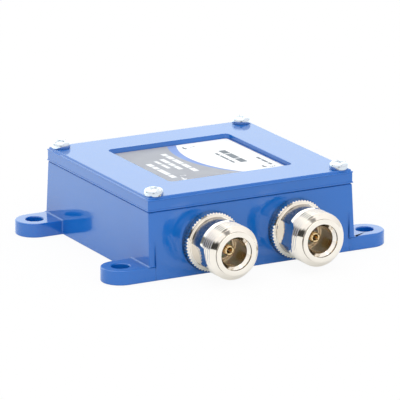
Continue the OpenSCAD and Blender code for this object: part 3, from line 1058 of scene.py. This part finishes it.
def studio_floor(color, reach):
    """Round floor of matt white board, just under the object."""
    material = bpy.data.materials.new("matt_white_board")
    material.use_nodes = True
    tree = material.node_tree
    tree.nodes.clear()
    board = add_node(tree, "BsdfDiffuse", {"Color": opaque(color)}).outputs["BSDF"]
    white = add_node(tree, "Emission", {"Color": WHITE, "Strength": 1.0}).outputs["Emission"]
    seen = add_node(tree, "MixShader", {0: FLOOR_WHITE, 1: board, 2: white}).outputs["Shader"]
    # in gloss the floor brightens towards the back, as if it ran up the backdrop
    where = add_node(tree, "TexCoord").outputs["Object"]
    place = add_node(tree, "SeparateXYZ", {"Vector": where}).outputs["Y"]
    ramp = {"Value": place, "From Min": -0.05, "From Max": 0.08, "To Min": 0.14, "To Max": 0.85}
    backlight = add_node(tree, "MapRange", ramp).outputs["Result"]
    glare = add_node(tree, "Emission", {"Color": (0.85, 1, 1, 1), "Strength": backlight}).outputs["Emission"]
    mirrored = add_node(tree, "AddShader", {0: board, 1: glare}).outputs["Shader"]
    add_node(tree, "OutputMaterial", {"Surface": shown_to_rays(tree, board, mirrored, seen)})

    bm = bmesh.new()
    bm.faces.new(circle(bm, reach, -FLOOR_GAP, 64))
    add_mesh("floor", bm, [material])


def studio_world(camera_direction):
    """White room: level light for matt surfaces, a bright backdrop and a few dark things for gloss, and
    white for the camera."""
    world = bpy.data.worlds.new("white_room")
    bpy.context.scene.world = world
    world.use_nodes = True
    tree = world.node_tree
    tree.nodes.clear()
    way = add_node(tree, "TexCoord").outputs["Generated"]
    axes = add_node(tree, "SeparateXYZ", {"Vector": way}).outputs
    # behind the object the backdrop is nearly twice as bright as the room in front, and a little cooler
    backwards = {"Value": axes["Y"], "From Min": 0.2, "From Max": 0.8}
    behind = add_node(tree, "MapRange", backwards).outputs["Result"]
    cooler = {"Fac": behind, "Color1": WHITE, "Color2": (1.7, 1.85, 1.85, 1)}
    backdrop = add_node(tree, "MixRGB", cooler).outputs["Color"]
    # overhead the ceiling is brighter than the walls
    upwards = {"Value": axes["Z"], "From Min": 0.1, "From Max": 0.5, "To Min": 1.0, "To Max": 1.2}
    shade = add_node(tree, "MapRange", upwards).outputs["Result"]
    # for each dark thing: its way, the degrees that its soft edge and its core reach, and its level
    stand = (camera_direction - STAND_DROP, 16, 9, 0.05)
    for direction, edge, core, level in (stand, (LAMP_BOOM, 9, 5, 0.3), (BLACK_FLAG, 14, 8, 0.15)):
        aimed = {0: way, 1: tuple(direction.normalized())}
        towards = add_node(tree, "VectorMath", aimed, operation="DOT_PRODUCT").outputs["Value"]
        far, near = (math.cos(math.radians(angle)) for angle in (edge, core))
        soft = {"Value": towards, "From Min": far, "From Max": near, "To Min": 1.0, "To Max": level}
        shadow = add_node(tree, "MapRange", soft).outputs["Result"]
        shade = add_node(tree, "Math", {0: shade, 1: shadow}, operation="MULTIPLY").outputs["Value"]
    # the main light comes from the camera's side
    frontwards = {"Value": axes["Y"], "From Min": -0.6, "From Max": 0.6, "To Min": 1.15, "To Max": 0.75}
    fill = add_node(tree, "MapRange", frontwards).outputs["Result"]
    room, gloss, white = (
        add_node(tree, "Background", {"Color": color, "Strength": strength}).outputs["Background"]
        for color, strength in ((WHITE, fill), (backdrop, shade), (WHITE, 1.0))
    )
    add_node(tree, "OutputWorld", {"Surface": shown_to_rays(tree, room, gloss, white)})


def studio_lamp(name, place, size, watts):
    """Soft square lamp that looks at the object."""
    data = bpy.data.lights.new(name, "AREA")
    data.shape = "SQUARE"
    data.size = size
    data.energy = watts
    lamp = add_object(name, data)
    lamp.location = place
    lamp.rotation_euler = (-Vector(place)).to_track_quat("-Z", "Y").to_euler()


def studio_camera(studio, forward):
    """Camera at the photograph's angle."""
    data = bpy.data.cameras.new("camera")
    data.lens = studio.lens
    data.sensor_width = 36
    data.clip_start = 0.05
    data.clip_end = 50
    camera = add_object("camera", data)
    turn = forward.to_track_quat("-Z", "Y").to_matrix().to_4x4() @ Matrix.Rotation(studio.roll, 4, "Z")
    camera.matrix_world = Matrix.Translation(AIM - forward * studio.distance) @ turn
    bpy.context.scene.camera = camera


class TAPPER_OT_studio(Operator):
    """Sets up the camera, the floor, the white room and its lamp"""

    bl_idname = "tapper.studio"
    bl_label = "Studio"

    def execute(self, context):
        studio = context.scene.tapper_studio
        context.scene.view_settings.view_transform = "Standard"
        level = math.cos(studio.elevation)
        across, along = math.sin(studio.azimuth), math.cos(studio.azimuth)
        forward = Vector((across * level, along * level, -math.sin(studio.elevation)))
        studio_camera(studio, forward)
        studio_floor(studio.floor, studio.reach)
        studio_world(-forward)
        studio_lamp("top_softbox", (-0.1, 0.1, 0.9), size=0.8, watts=2.0)
        return {"FINISHED"}


STEPS = (
    TAPPER_OT_studio,
    TAPPER_OT_casting,
    TAPPER_OT_seal,
    TAPPER_OT_jacks,
    TAPPER_OT_contacts,
    TAPPER_OT_screws,
    TAPPER_OT_board,
    TAPPER_OT_label,
)

GROUPS = {
    "tapper_paint": TapperPaint,
    "tapper_jacks": TapperJacks,
    "tapper_label": TapperLabel,
    "tapper_metal": TapperMetal,
    "tapper_studio": TapperStudio,
}


class TAPPER_PT_sidebar(Panel):
    """Lists the sizes and colours of the tapper and the steps that build it"""

    bl_idname = "TAPPER_PT_sidebar"
    bl_label = "RF power tapper"
    bl_space_type = "VIEW_3D"
    bl_region_type = "UI"
    bl_category = "Tapper"

    def draw(self, context):
        for group in GROUPS:
            box = self.layout.box()
            values = getattr(context.scene, group)
            for name in values.bl_rna.properties.keys():
                if name not in ("name", "rna_type"):
                    box.prop(values, name)
        for step in STEPS:
            self.layout.operator(step.bl_idname)


CLASSES = (*GROUPS.values(), *STEPS, TAPPER_PT_sidebar)


def register():
    for cls in CLASSES:
        bpy.utils.register_class(cls)
    for name, group in GROUPS.items():
        setattr(bpy.types.Scene, name, PointerProperty(type=group))


def unregister():
    for name in GROUPS:
        delattr(bpy.types.Scene, name)
    for cls in reversed(CLASSES):
        bpy.utils.unregister_class(cls)


def main():
    """Registers the add-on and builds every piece."""
    register()
    for step in STEPS:
        space, name = step.bl_idname.split(".")
        getattr(getattr(bpy.ops, space), name)()


if __name__ == "__main__":
    main()
